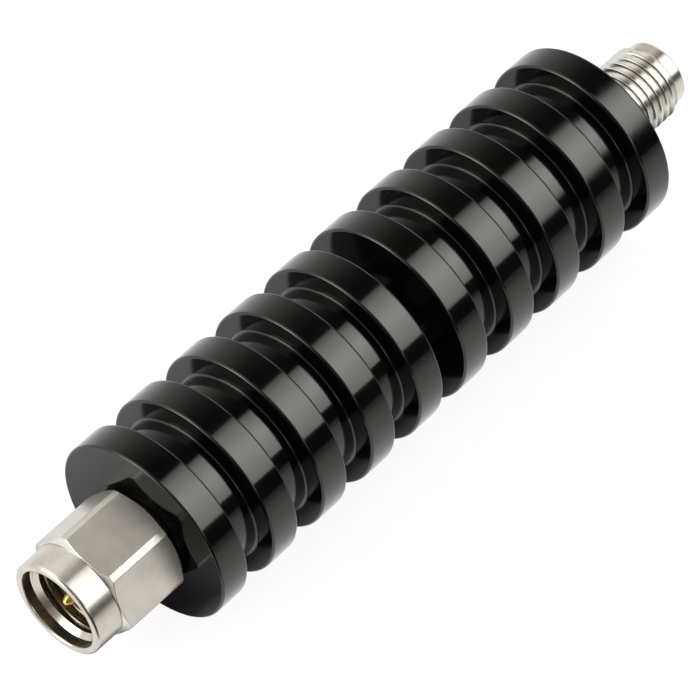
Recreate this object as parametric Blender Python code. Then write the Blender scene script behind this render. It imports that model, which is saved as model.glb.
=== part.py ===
"""In-line coaxial attenuator with a finned heat sink, a plug with a coupling nut and a threaded jack.

Metres, +Z up. The part lies on its fins along X, with the plug towards -X and the jack towards +X.
Every turned piece is drawn as an outline of (x, radius) points and spun about the connector axis.
"""

import math

import bmesh
import bpy

# Heat sink
fin_count = 10
fin_thickness = 0.0025
groove_width = 0.00265
middle_groove_width = 0.0024
hub_radius = 0.0059
fin_height = 0.0016
groove_fillet = 0.0004
fin_edge_break = 0.00012
middle_wall = 0.00085  # wall left round the bore in the deep middle groove
bore_edge_break = 0.00015

# Clearances
seat_gap = 0.0001  # between pieces that seat on each other
running_gap = 0.0002  # round the neck that the nut turns on
nut_gap = 0.00045  # from the back of the nut to the heat sink, with the nut at rest
ring_play = 0.0003  # how far the nut and its ring shift each way

# Coaxial line from plug to jack
line_bore_radius = 0.00146
line_rod_radius = 0.000635
line_wall = 0.00044  # wall of a sleeve where it enters a shell
shell_wall = 0.0008  # wall of a shell round its bead
spigot_length = 0.006
bead_length = 0.0016
bead_depth = 0.002  # from the face of the heat sink to the bead
support_bead_length = 0.0012
neck_radius = 0.0004  # the conductor's neck in a bead
tail_radius = 0.0003
tail_length = 0.0014

# Plug
plug_reach = 0.0056  # from the heat sink to the plug's reference plane
plug_nose_radius = 0.0023
plug_nose_length = 0.0023
plug_neck_radius = 0.0026
shell_edge_break = 0.00012
pin_radius = 0.00046
pin_reach = 0.002  # how far the pin stands past the reference plane
pin_point_length = 0.00055
pin_point_radius = 0.00012
ring_groove_depth = 0.00045
ring_width = 0.0005
ring_grip = 0.0002  # how far the ring reaches into the nut
ring_gap_angle = math.radians(30)

# Coupling nut
nut_thread_radius = 0.00285
nut_thread_length = 0.0041
thread_relief_depth = 0.00035
mouth_step = 0.00045  # from the thread out to the wall of the mouth
mouth_depth = 0.00085
mouth_lead_in = 0.0004
nut_nose_wall = 0.0006
nut_nose_length = 0.00235
nut_lip_round = 0.00025
flat_step = 0.0001  # from the nose up to the flats
hex_corner_height = 0.00044  # from the flats to the turned corners
hex_length = 0.00585
hex_chamfer_angle = math.radians(30)
hex_chamfer_inset = 0.00003  # how far the chamfer's circle lies inside the flats
nut_turn = math.radians(39.4)
collar_land = 0.0006  # from the back of the nut to its ring groove

# Jack
jack_reach = 0.00785
jack_thread_radius = 0.0031
jack_nose_radius = 0.0027
jack_nose_length = 0.001
jack_edge_round = 0.00015
jack_relief_length = 0.0005
jack_relief_depth = 0.0004
jack_counterbore_depth = 0.00195
jack_mating_gap = 0.00005  # round a plug's nose in the jack
socket_wall = 0.000165
socket_depth = 0.0025
slot_length = 0.002
slot_width = 0.00014
slot_count = 4

# Attenuator card and its carriers
sleeve_line_length = 0.0068  # from a shell to the carriers
carrier_split_gap = 0.0001
channel_width = 0.0024
channel_height = 0.0013
card_width = 0.004
card_thickness = 0.0005
card_setback = 0.0006  # from the end of the carriers to the card
card_corner = 0.0002
tab_width = 0.0007
tab_thickness = 0.0001
tab_overlap = 0.0009  # how far a tab lies on the card

# Facets round each piece
body_facets = 40
nut_facets = 48
shell_facets = 28
line_facets = 20

# Sizes that follow from those above
spigot_radius = line_bore_radius + line_wall + seat_gap + shell_wall
main_bore_radius = spigot_radius + seat_gap
fin_radius = hub_radius + fin_height
fin_pitch = fin_thickness + groove_width
middle_groove_index = fin_count // 2
body_length = (
    fin_count * fin_thickness + (fin_count - 2) * groove_width + middle_groove_width
)
mouth_radius = nut_thread_radius + mouth_step
nut_nose_radius = mouth_radius + nut_nose_wall
across_flats = 2 * (nut_nose_radius + flat_step)
hex_corner_radius = across_flats / 2 + hex_corner_height
nut_length = hex_length + nut_nose_length
nut_reach = nut_gap + nut_length
overall_length = nut_reach + body_length + jack_reach
body_front_x = nut_reach - overall_length / 2
body_rear_x = body_front_x + body_length
axis_height = fin_radius * math.cos(math.pi / body_facets)  # lies on one flat facet
bead_radius = line_bore_radius + line_wall
bead_bore_radius = bead_radius + seat_gap
neck_hole_radius = neck_radius + seat_gap / 2
bead_station = bead_depth + bead_length
support_bead_station = spigot_length + seat_gap + sleeve_line_length - support_bead_length
carrier_station = support_bead_station + support_bead_length + seat_gap
carrier_length = body_length - 2 * carrier_station
card_length = carrier_length - 2 * card_setback
rod_nose_length = support_bead_length + card_setback + seat_gap
jack_counterbore_radius = plug_nose_radius + jack_mating_gap
ring_inner_radius = plug_neck_radius - ring_groove_depth + seat_gap
collar_radius = plug_neck_radius + running_gap
ring_outer_radius = collar_radius + ring_grip
ring_setback = nut_gap + collar_land + seat_gap + ring_width / 2


def clear_scene():
    for item in list(bpy.data.objects):
        bpy.data.objects.remove(item)


def make_finish(name, colour, roughness, metallic):
    finish = bpy.data.materials.new(name)
    finish.use_nodes = True
    shader = finish.node_tree.nodes["Principled BSDF"]
    shader.inputs["Base Color"].default_value = (*colour, 1.0)
    shader.inputs["Roughness"].default_value = roughness
    shader.inputs["Metallic"].default_value = metallic
    finish.diffuse_color = (*colour, 1.0)
    return finish


def place(bm, name, finish, x, axis_line, turn=0.0):
    """Turns the mesh into an object on the connector axis, with its origin at x."""
    bmesh.ops.recalc_face_normals(bm, faces=bm.faces)
    mesh = bpy.data.meshes.new(name)
    bm.to_mesh(mesh)
    bm.free()
    mesh.materials.append(finish)
    mesh.shade_smooth()
    mesh.set_sharp_from_angle(angle=math.radians(25))
    piece = bpy.data.objects.new(name, mesh)
    bpy.context.scene.collection.objects.link(piece)
    piece.parent = axis_line
    piece.location = (x, 0.0, 0.0)
    piece.rotation_euler = (turn, 0.0, 0.0)
    return piece


def spun(outline, facets, closed=True):
    """Spins an outline of (x, radius) points about X. An open one starts and ends on the axis."""
    bm = bmesh.new()
    half_facet = math.pi / facets
    start = [
        bm.verts.new((x, radius * math.sin(half_facet), radius * math.cos(half_facet)))
        for x, radius in outline
    ]
    edges = [bm.edges.new(pair) for pair in zip(start, start[1:])]
    if closed:
        edges.append(bm.edges.new((start[-1], start[0])))
    bmesh.ops.spin(
        bm,
        geom=start + edges,
        cent=(0.0, 0.0, 0.0),
        axis=(1.0, 0.0, 0.0),
        angle=2 * math.pi,
        steps=facets,
    )
    bmesh.ops.remove_doubles(bm, verts=bm.verts, dist=1e-7)
    return bm


def extruded(outline, depth, across):
    """Extrudes a closed outline of (a, b) points by depth, evenly about the middle.

    across "x" takes the outline as (y, z), and "y" takes it as (x, z)."""
    bm = bmesh.new()
    if across == "x":
        corners = [bm.verts.new((-depth / 2, a, b)) for a, b in outline]
        step = (depth, 0.0, 0.0)
    else:
        corners = [bm.verts.new((a, -depth / 2, b)) for a, b in outline]
        step = (0.0, depth, 0.0)
    face = bm.faces.new(corners)
    grown = bmesh.ops.extrude_face_region(bm, geom=[face])
    moved = [item for item in grown["geom"] if isinstance(item, bmesh.types.BMVert)]
    bmesh.ops.translate(bm, verts=moved, vec=step)
    return bm


def arc(centre_x, centre_radius, radius, start, end, steps=2):
    """Points of an arc in the (x, radius) plane, with its angles in degrees from +x."""
    points = []
    for i in range(steps + 1):
        angle = math.radians(start + (end - start) * i / steps)
        points.append(
            (centre_x + radius * math.cos(angle), centre_radius + radius * math.sin(angle))
        )
    return points


def cut(piece, cutter, operation):
    cutter.hide_render = True
    cutter.display_type = "WIRE"
    modifier = piece.modifiers.new(cutter.name, "BOOLEAN")
    modifier.operation = operation
    modifier.solver = "EXACT"
    modifier.object = cutter


def groove_outline(x, fin):
    """Floor of the groove that starts at x behind this fin. The deep middle one is cut square."""
    if fin + 1 == middle_groove_index:
        floor = main_bore_radius + middle_wall
        return [(x, floor), (x + middle_groove_width, floor)]
    end = x + groove_width
    fillet_height = hub_radius + groove_fillet
    return [
        *arc(x + groove_fillet, fillet_height, groove_fillet, 180, 270),
        *arc(end - groove_fillet, fillet_height, groove_fillet, 270, 360),
    ]


def heat_sink_outline():
    """Fins and grooves from front to back, then the bore."""
    points = [(bore_edge_break, main_bore_radius), (0.0, main_bore_radius + bore_edge_break)]
    x = 0.0
    for fin in range(fin_count):
        points.append((x, fin_radius - fin_edge_break))
        points.append((x + fin_edge_break, fin_radius))
        x += fin_thickness
        points.append((x - fin_edge_break, fin_radius))
        points.append((x, fin_radius - fin_edge_break))
        if fin + 1 < fin_count:
            groove = groove_outline(x, fin)
            points += groove
            x = groove[-1][0]
    points.append((body_length, main_bore_radius + bore_edge_break))
    points.append((body_length - bore_edge_break, main_bore_radius))
    return points


def nut_outline():
    """Round blank of the nut, from its back at x = 0 forward to its lip, then back along its bore."""
    chamfer_radius = across_flats / 2 - hex_chamfer_inset
    chamfer_length = (hex_corner_radius - chamfer_radius) * math.tan(hex_chamfer_angle)
    groove_near = -collar_land
    groove_far = groove_near - ring_width - 2 * seat_gap
    thread_near = -nut_length + mouth_depth + nut_thread_length
    relief_radius = nut_thread_radius + thread_relief_depth
    lip_inner = mouth_radius + nut_lip_round / 2
    return [
        (0.0, collar_radius),
        (0.0, chamfer_radius),
        (-chamfer_length, hex_corner_radius),
        (-hex_length + chamfer_length, hex_corner_radius),
        (-hex_length, chamfer_radius),
        (-hex_length, nut_nose_radius),
        *arc(-nut_length + nut_lip_round, nut_nose_radius - nut_lip_round, nut_lip_round, 90, 180),
        (-nut_length, lip_inner),
        (-nut_length + nut_lip_round / 2, mouth_radius),
        (-nut_length + mouth_depth, mouth_radius),
        (-nut_length + mouth_depth + mouth_lead_in, nut_thread_radius),
        (thread_near, nut_thread_radius),
        (thread_near, relief_radius),
        (groove_far - collar_land, relief_radius),
        (groove_far - collar_land, collar_radius),
        (groove_far, collar_radius),
        (groove_far, ring_outer_radius + seat_gap),
        (groove_near, ring_outer_radius + seat_gap),
        (groove_near, collar_radius),
    ]


def make_coupling_nut(finish, axis_line):
    """A turned blank whose middle is milled to a hexagon; the nose is already inside the flats."""
    x = body_front_x - nut_gap
    blank = spun(nut_outline(), nut_facets)
    nut = place(blank, "coupling_nut", finish, x, axis_line, nut_turn)
    corner_radius = across_flats / math.sqrt(3)
    corners = [
        (corner_radius * math.sin(math.radians(60 * i)), corner_radius * math.cos(math.radians(60 * i)))
        for i in range(6)
    ]
    stock = extruded(corners, 3 * nut_length, "x")
    cut(nut, place(stock, "hexagon_stock", finish, x, axis_line, nut_turn), "INTERSECT")
    return nut


def make_snap_ring(finish, axis_line):
    """A split ring, half in the plug shell's groove and half in the nut's."""
    half = ring_width / 2
    bm = bmesh.new()
    section = [
        bm.verts.new((x, 0.0, radius))
        for x, radius in (
            (-half, ring_inner_radius),
            (half, ring_inner_radius),
            (half, ring_outer_radius),
            (-half, ring_outer_radius),
        )
    ]
    bmesh.ops.spin(
        bm,
        geom=[bm.faces.new(section)],
        cent=(0.0, 0.0, 0.0),
        axis=(1.0, 0.0, 0.0),
        angle=2 * math.pi - ring_gap_angle,
        steps=shell_facets - 4,
    )
    return place(bm, "nut_snap_ring", finish, body_front_x - ring_setback, axis_line)


def shell_inside():
    """Bore of a shell from the end of its spigot forward to the line, with x = 0 at the heat sink's face."""
    return [
        (spigot_length, bead_bore_radius),
        (bead_depth - seat_gap, bead_bore_radius),
        (bead_depth - seat_gap, line_bore_radius),
    ]


def plug_shell_outline():
    """From the reference plane back along the neck and the spigot, then forward along the bore."""
    groove_half = ring_width / 2 + ring_play + seat_gap
    groove_floor = plug_neck_radius - ring_groove_depth
    shoulder = -plug_reach + plug_nose_length
    return [
        (-plug_reach, line_bore_radius),
        (-plug_reach, plug_nose_radius - shell_edge_break),
        (-plug_reach + shell_edge_break, plug_nose_radius),
        (shoulder, plug_nose_radius),
        (shoulder, plug_neck_radius - shell_edge_break),
        (shoulder + shell_edge_break, plug_neck_radius),
        (-ring_setback - groove_half, plug_neck_radius),
        (-ring_setback - groove_half, groove_floor),
        (-ring_setback + groove_half, groove_floor),
        (-ring_setback + groove_half, plug_neck_radius),
        (seat_gap, plug_neck_radius),
        (seat_gap, spigot_radius - shell_edge_break),
        (seat_gap + shell_edge_break, spigot_radius),
        (spigot_length, spigot_radius),
        *shell_inside(),
    ]


def jack_shell_outline():
    """From the nose back along the threaded barrel and the spigot, then forward along the bore."""
    nose_start = -jack_reach + jack_nose_length
    thread_edge = jack_thread_radius - jack_nose_radius
    round_centre = -jack_reach + jack_edge_round
    relief_radius = jack_thread_radius - jack_relief_depth
    reference = -jack_reach + jack_counterbore_depth
    return [
        (-jack_reach, jack_counterbore_radius),
        *arc(round_centre, jack_nose_radius - jack_edge_round, jack_edge_round, 180, 90),
        (nose_start, jack_nose_radius),
        (nose_start + thread_edge, jack_thread_radius),
        (-seat_gap - 2 * jack_relief_length, jack_thread_radius),
        (-seat_gap - jack_relief_length, relief_radius),
        (-seat_gap - jack_relief_length / 2, relief_radius),
        (-seat_gap - jack_relief_length / 2, jack_thread_radius),
        (-seat_gap, jack_thread_radius),
        (-seat_gap, spigot_radius),
        (spigot_length, spigot_radius),
        *shell_inside(),
        (reference, line_bore_radius),
        (reference, jack_counterbore_radius),
    ]


def conductor_end(bead_front):
    """Back end of a pin or socket: a neck through the bead and a tail in the line rod."""
    bead_back = bead_front + bead_length
    return [
        (bead_front - seat_gap, line_rod_radius),
        (bead_front - seat_gap, neck_radius),
        (bead_back + seat_gap, neck_radius),
        (bead_back + seat_gap, tail_radius),
        (bead_back + seat_gap + tail_length, tail_radius),
        (bead_back + seat_gap + tail_length, 0.0),
    ]


def plug_pin_outline():
    """Pointed pin, stepped up to the line's rod behind the reference plane."""
    tip = -plug_reach - pin_reach
    return [
        (tip, 0.0),
        (tip, pin_point_radius / 2),
        (tip + pin_point_radius / 2, pin_point_radius),
        (tip + pin_point_length, pin_radius),
        (-plug_reach, pin_radius),
        (-plug_reach + line_rod_radius - pin_radius, line_rod_radius),
        *conductor_end(bead_depth),
    ]


def jack_socket_outline():
    """Socket contact with its mouth at the jack's reference plane."""
    mouth = -jack_reach + jack_counterbore_depth + seat_gap
    hole_radius = line_rod_radius - socket_wall
    lead_in = socket_wall / 2
    return [
        (mouth + socket_depth, 0.0),
        (mouth + socket_depth, hole_radius),
        (mouth + lead_in, hole_radius),
        (mouth, hole_radius + lead_in),
        (mouth, line_rod_radius - lead_in / 2),
        (mouth + lead_in, line_rod_radius),
        *conductor_end(bead_depth),
    ]


def bead_outline(length, outer_radius):
    return [
        (0.0, neck_hole_radius),
        (0.0, outer_radius),
        (length, outer_radius),
        (length, neck_hole_radius),
    ]


def line_sleeve_outline():
    """Narrow nose that enters the shell and holds its bead, a full part, and a seat for the support bead."""
    nose_start = bead_station + seat_gap
    full_start = spigot_length + seat_gap
    end = full_start + sleeve_line_length
    return [
        (nose_start, line_bore_radius),
        (nose_start, bead_radius),
        (full_start, bead_radius),
        (full_start, spigot_radius),
        (end, spigot_radius),
        (end, bead_bore_radius),
        (support_bead_station - seat_gap, bead_bore_radius),
        (support_bead_station - seat_gap, line_bore_radius),
    ]


def line_rod_outline():
    """Inner conductor with a hole for the pin's tail and a thin nose through the support bead."""
    start = bead_station + 2 * seat_gap
    hole_radius = tail_radius + seat_gap / 2
    hole_end = start + tail_length + seat_gap
    nose_start = support_bead_station - seat_gap
    return [
        (hole_end, 0.0),
        (hole_end, hole_radius),
        (start, hole_radius),
        (start, line_rod_radius),
        (nose_start, line_rod_radius),
        (nose_start, neck_radius),
        (nose_start + rod_nose_length, neck_radius),
        (nose_start + rod_nose_length, 0.0),
    ]


def make_side(side, shell_outline, contact_outline, contact_name, finishes, axis_line):
    """The shell, its contact, the beads and the line of one end. side is "plug" or "jack"."""
    face_x, inward = (body_front_x, 1) if side == "plug" else (body_rear_x, -1)

    def turned_piece(name, outline, facets, finish, station=0.0, closed=True):
        bm = spun([(inward * x, radius) for x, radius in outline], facets, closed)
        return place(bm, name, finishes[finish], face_x + inward * station, axis_line)

    turned_piece(f"{side}_shell", shell_outline, shell_facets, "stainless")
    contact = turned_piece(contact_name, contact_outline, line_facets, "gold", closed=False)
    bead = bead_outline(bead_length, bead_radius)
    turned_piece(f"{side}_bead", bead, line_facets, "bead_plastic", bead_depth)
    turned_piece(f"{side}_line_sleeve", line_sleeve_outline(), shell_facets, "brass")
    turned_piece(f"{side}_line_rod", line_rod_outline(), line_facets, "gold", closed=False)
    support = bead_outline(support_bead_length, bead_radius)
    turned_piece(f"{side}_line_bead", support, line_facets, "bead_plastic", support_bead_station)
    return contact


def slot_socket(socket, finish, axis_line):
    """Slots the socket's mouth into springy fingers."""
    mouth_x = body_rear_x + jack_reach - jack_counterbore_depth
    for i in range(slot_count // 2):
        bm = bmesh.new()
        bmesh.ops.create_cube(bm, size=1.0)
        bmesh.ops.scale(bm, verts=bm.verts, vec=(2 * slot_length, slot_width, 3 * line_rod_radius))
        turn = 2 * math.pi * i / slot_count
        cutter = place(bm, f"socket_slot_{i + 1}", finish, mouth_x, axis_line, turn)
        cut(socket, cutter, "DIFFERENCE")


def carrier_outline(side):
    """Half disc with a rebate for the card's edge and an open channel under it. side is 1 above, -1 below."""
    split = carrier_split_gap / 2
    rebate = card_thickness / 2 + seat_gap
    rebate_half = card_width / 2 + seat_gap
    channel_half = channel_width / 2
    flat_half = math.sqrt(spigot_radius**2 - split**2)
    first = math.asin(split / spigot_radius)
    steps = shell_facets // 2
    points = []
    for i in range(steps + 1):
        angle = first + (math.pi - 2 * first) * i / steps
        points.append((spigot_radius * math.cos(angle), spigot_radius * math.sin(angle)))
    points[0] = (flat_half, split)
    points[-1] = (-flat_half, split)
    points += [
        (-rebate_half, split),
        (-rebate_half, rebate),
        (-channel_half, rebate),
        (-channel_half, channel_height),
        (channel_half, channel_height),
        (channel_half, rebate),
        (rebate_half, rebate),
        (rebate_half, split),
    ]
    return [(y, side * z) for y, z in points]


def make_carriers(finish, axis_line):
    middle_x = (body_front_x + body_rear_x) / 2
    for name, side in (("carrier_upper", 1), ("carrier_lower", -1)):
        bm = extruded(carrier_outline(side), carrier_length, "x")
        place(bm, name, finish, middle_x, axis_line)


def make_card(finish, axis_line):
    """Ceramic card whose long edges lie between the carriers."""
    bm = bmesh.new()
    bmesh.ops.create_cube(bm, size=1.0)
    bmesh.ops.scale(bm, verts=bm.verts, vec=(card_length, card_width, card_thickness))
    upright = [edge for edge in bm.edges if abs(edge.verts[0].co.z - edge.verts[1].co.z) > card_thickness / 2]
    bmesh.ops.bevel(bm, geom=upright, offset=card_corner, segments=1, affect="EDGES")
    place(bm, "attenuator_card", finish, (body_front_x + body_rear_x) / 2, axis_line)


def tab_outline():
    """Bent ribbon seen from the side: flat on the rod's nose, then down onto the card. x = 0 at the card's edge."""
    high = neck_radius + seat_gap / 2
    low = card_thickness / 2 + seat_gap / 2
    front = -card_setback
    rod_end = -seat_gap
    bend = tab_overlap / 3
    under = [(front, high), (rod_end, high), (rod_end + bend, low), (tab_overlap, low)]
    over = [(x, z + tab_thickness) for x, z in reversed(under)]
    return under + over


def make_tabs(finish, axis_line):
    for name, side, face_x in (
        ("plug_contact_tab", 1, body_front_x),
        ("jack_contact_tab", -1, body_rear_x),
    ):
        outline = [(side * x, z) for x, z in tab_outline()]
        x = face_x + side * (carrier_station + card_setback)
        place(extruded(outline, tab_width, "y"), name, finish, x, axis_line)


def build():
    clear_scene()
    axis_line = bpy.data.objects.new("axis_line", None)
    bpy.context.scene.collection.objects.link(axis_line)
    axis_line.location = (0.0, 0.0, axis_height)
    finishes = {
        "anodised": make_finish("black_anodised_aluminium", (0.012, 0.012, 0.013), 0.32, 0.4),
        "stainless": make_finish("turned_stainless_steel", (0.62, 0.60, 0.56), 0.3, 1.0),
        "gold": make_finish("gold_plated_beryllium_copper", (0.83, 0.58, 0.22), 0.2, 1.0),
        "spring": make_finish("beryllium_copper", (0.66, 0.42, 0.24), 0.35, 1.0),
        "brass": make_finish("turned_brass", (0.72, 0.55, 0.27), 0.3, 1.0),
        "bead_plastic": make_finish("amber_moulded_bead", (0.42, 0.25, 0.10), 0.45, 0.0),
        "ceramic": make_finish("white_alumina", (0.80, 0.79, 0.76), 0.5, 0.0),
    }
    body = spun(heat_sink_outline(), body_facets)
    place(body, "heat_sink_body", finishes["anodised"], body_front_x, axis_line)
    make_coupling_nut(finishes["stainless"], axis_line)
    make_snap_ring(finishes["spring"], axis_line)
    make_side("plug", plug_shell_outline(), plug_pin_outline(), "plug_pin", finishes, axis_line)
    socket = make_side(
        "jack", jack_shell_outline(), jack_socket_outline(), "jack_socket", finishes, axis_line
    )
    slot_socket(socket, finishes["gold"], axis_line)
    make_carriers(finishes["brass"], axis_line)
    make_card(finishes["ceramic"], axis_line)
    make_tabs(finishes["gold"], axis_line)


build()
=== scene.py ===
import math

import bmesh
import bpy
from mathutils import Matrix, Vector


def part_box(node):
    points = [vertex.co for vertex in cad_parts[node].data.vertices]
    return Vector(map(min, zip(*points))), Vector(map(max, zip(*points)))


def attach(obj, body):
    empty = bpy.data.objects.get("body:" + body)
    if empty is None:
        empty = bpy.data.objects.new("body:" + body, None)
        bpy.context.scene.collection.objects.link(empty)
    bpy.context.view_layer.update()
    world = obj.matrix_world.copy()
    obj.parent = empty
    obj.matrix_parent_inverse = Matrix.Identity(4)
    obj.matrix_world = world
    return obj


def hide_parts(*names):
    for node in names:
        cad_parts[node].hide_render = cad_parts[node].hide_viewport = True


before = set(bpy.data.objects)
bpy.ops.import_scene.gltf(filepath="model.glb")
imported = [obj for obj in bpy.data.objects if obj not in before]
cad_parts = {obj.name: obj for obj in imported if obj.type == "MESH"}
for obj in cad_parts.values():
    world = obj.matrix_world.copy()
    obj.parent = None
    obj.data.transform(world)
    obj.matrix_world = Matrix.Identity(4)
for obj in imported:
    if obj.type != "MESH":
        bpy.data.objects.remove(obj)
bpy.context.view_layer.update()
print("frame loaded,", len(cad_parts), "nodes")

mm = 0.001
bodyLow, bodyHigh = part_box("heat_sink_body")
bodyFront, bodyRear = bodyLow.x, bodyHigh.x
axisHeight = (bodyLow.z + bodyHigh.z) / 2  # the part lies on its fins
finRadius = (bodyHigh.z - bodyLow.z) / 2 / mm
plugSide = {"face": bodyFront, "out": -1}
jackSide = {"face": bodyRear, "out": 1}


# Camera at the place that the fin edges give: 52 degrees above the floor, from the plug's end
camera = {
    "place": (-0.15056, -0.12986, 0.25790),
    "azimuth": -48.79,
    "elevation": 51.83,
    "lens": 230.63,
    "sensor": 36,
    "clip": (0.01, 20),
}


def makeCamera():
    data = bpy.data.cameras.new("camera")
    data.lens = camera["lens"]
    data.sensor_width = camera["sensor"]
    data.clip_start, data.clip_end = camera["clip"]
    viewer = bpy.data.objects.new("camera", data)
    viewer.location = camera["place"]
    tilt = math.radians(90 - camera["elevation"])
    viewer.rotation_euler = (tilt, 0, math.radians(camera["azimuth"]))
    bpy.context.scene.collection.objects.link(viewer)
    bpy.context.scene.camera = viewer


makeCamera()
print("camera placed")


# Node and colour helpers
def colour(code):
    # sRGB hex text to a linear colour
    parts = [int(code[i:i + 2], 16) / 255 for i in (1, 3, 5)]
    return [c / 12.92 if c <= 0.04045 else ((c + 0.055) / 1.055) ** 2.4 for c in parts] + [1]


def addNode(tree, kind, settings=None, links=None):
    # settings go to the node or its inputs, stops fill a colour ramp, a linked node gives its first output
    node = tree.nodes.new(kind)
    for key, value in (settings or {}).items():
        if key == "stops":
            elements = node.color_ramp.elements
            while len(elements) < len(value):
                elements.new(1.0)
            for element, (position, tone) in zip(elements, value):
                element.position = position
                element.color = colour(tone) if isinstance(tone, str) else (tone, tone, tone, 1)
        elif isinstance(key, int) or key in node.inputs:
            node.inputs[key].default_value = value
        else:
            setattr(node, key, value)
    for key, source in (links or {}).items():
        socket = source.outputs[0] if isinstance(source, bpy.types.Node) else source
        tree.links.new(socket, node.inputs[key])
    return node


def startMaterial(name):
    material = bpy.data.materials.new(name)
    material.use_nodes = True
    material.node_tree.nodes.clear()
    return material, material.node_tree


def closeMaterial(tree, look, links):
    # constants stay on the shader's own sockets
    shader = addNode(tree, "ShaderNodeBsdfPrincipled", look, links)
    addNode(tree, "ShaderNodeOutputMaterial", {}, {"Surface": shader})


def latheCoordinates(tree):
    # a turned piece's place in millimetres, along the axis and off it, and how squarely it faces along it
    where = addNode(tree, "ShaderNodeTexCoord")
    toMillimetres = {"Location": (0, 0, -axisHeight / mm), "Scale": (1 / mm, 1 / mm, 1 / mm)}
    centred = addNode(tree, "ShaderNodeMapping", toMillimetres, {"Vector": where.outputs["Object"]})
    parts = addNode(tree, "ShaderNodeSeparateXYZ", {}, {0: centred})
    across = addNode(tree, "ShaderNodeCombineXYZ", {}, {"Y": parts.outputs["Y"], "Z": parts.outputs["Z"]})
    radius = addNode(tree, "ShaderNodeVectorMath", {"operation": "LENGTH"}, {0: across})
    normal = addNode(tree, "ShaderNodeSeparateXYZ", {}, {0: where.outputs["Normal"]})
    facing = addNode(tree, "ShaderNodeMath", {"operation": "ABSOLUTE"}, {0: normal.outputs["X"]})
    tangent = addNode(tree, "ShaderNodeVectorMath", {"operation": "CROSS_PRODUCT", 1: (1, 0, 0)}, {0: across})
    return {
        "point": centred.outputs[0],
        "along": parts.outputs["X"],
        "y": parts.outputs["Y"],
        "z": parts.outputs["Z"],
        "radius": radius.outputs["Value"],
        "facing": facing.outputs[0],
        "tangent": tangent.outputs[0],
    }


# a surface that faces along the axis more squarely than this is a turned face, and any other is a barrel
faceTurn = 0.7


def turningMarks(tree, place, pitch, waver):
    # fine rings left by the tool: they follow x on a barrel and the radius on a face
    onFace = addNode(tree, "ShaderNodeMath", {"operation": "GREATER_THAN", 1: faceTurn}, {0: place["facing"]})
    line = addNode(tree, "ShaderNodeMix", {}, {0: onFace, 2: place["along"], 3: place["radius"]})
    rings = addNode(tree, "ShaderNodeMath", {"operation": "DIVIDE", 1: pitch}, {0: line})
    y = addNode(tree, "ShaderNodeMath", {"operation": "MULTIPLY", 1: waver}, {0: place["y"]})
    z = addNode(tree, "ShaderNodeMath", {"operation": "MULTIPLY", 1: waver}, {0: place["z"]})
    stretched = addNode(tree, "ShaderNodeCombineXYZ", {}, {"X": rings, "Y": y, "Z": z})
    grain = {"Scale": 1.0, "Detail": 3.0, "Roughness": 0.6}
    return addNode(tree, "ShaderNodeTexNoise", grain, {"Vector": stretched})


# Modelling helpers. Outlines are (distance out from a face, radius) in millimetres.
# Corners closer than the weld are one, a corner is picked by its place, and a point held past each rounding
# keeps the long faces' shading straight, unless the next corner is too near
tolerance = {
    "weld": 0.0001,
    "weldFlats": 0.0005,
    "pick": 0.001,
    "seed": 0.1,
    "hold": 0.03,
    "longestHold": 0.45,
}
# parts of a unit normal: the same way as another, along a barrel, and leaning well along the axis
leaning = {"same": 0.9999, "barrel": 0.1, "sloped": 0.4}


def holdCorners(outline, corners, size):
    def onTheWay(start, end):
        reach = math.dist(start, end)
        share = (size + tolerance["hold"]) / reach
        if share > tolerance["longestHold"]:
            return []
        return [tuple(a + (b - a) * share for a, b in zip(start, end))]

    held = []
    for i, point in enumerate(outline):
        if point in corners and 0 < i < len(outline) - 1:
            held += onTheWay(point, outline[i - 1]) + [point] + onTheWay(point, outline[i + 1])
        else:
            held.append(point)
    return held


def drawOutline(name, side, points):
    bpy.ops.object.select_all(action="DESELECT")
    spots = [(side["face"] + side["out"] * x * mm, axisHeight + radius * mm) for x, radius in points]
    bpy.ops.mesh.primitive_plane_add(size=tolerance["seed"] * mm, location=(spots[0][0], 0, spots[0][1]))
    piece = bpy.context.object
    piece.name = piece.data.name = name
    bpy.ops.object.mode_set(mode="EDIT")
    bpy.ops.mesh.select_mode(type="VERT")
    bpy.ops.mesh.merge(type="CENTER")
    for here, there in zip(spots, spots[1:]):
        step = (there[0] - here[0], 0, there[1] - here[1])
        bpy.ops.mesh.extrude_region_move(TRANSFORM_OT_translate={"value": step})
    return piece


def selectCorners(piece, wanted):
    bpy.ops.mesh.select_mode(type="VERT")
    bpy.ops.mesh.select_all(action="DESELECT")
    mesh = bmesh.from_edit_mesh(piece.data)
    for vert in mesh.verts:
        vert.select = wanted(vert, piece.matrix_world @ vert.co)
    mesh.select_flush_mode()
    bmesh.update_edit_mesh(piece.data)


def roundCorners(piece, side, corners, size, segments):
    # rounds the outline at these (distance, radius) corners
    spots = [
        Vector((side["face"] + side["out"] * x * mm, 0, axisHeight + radius * mm))
        for x, radius in corners
    ]
    near = tolerance["pick"] * mm
    selectCorners(piece, lambda vert, place: any((place - spot).length < near for spot in spots))
    bpy.ops.mesh.bevel(offset=size * mm, segments=segments, affect="VERTICES")


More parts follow.
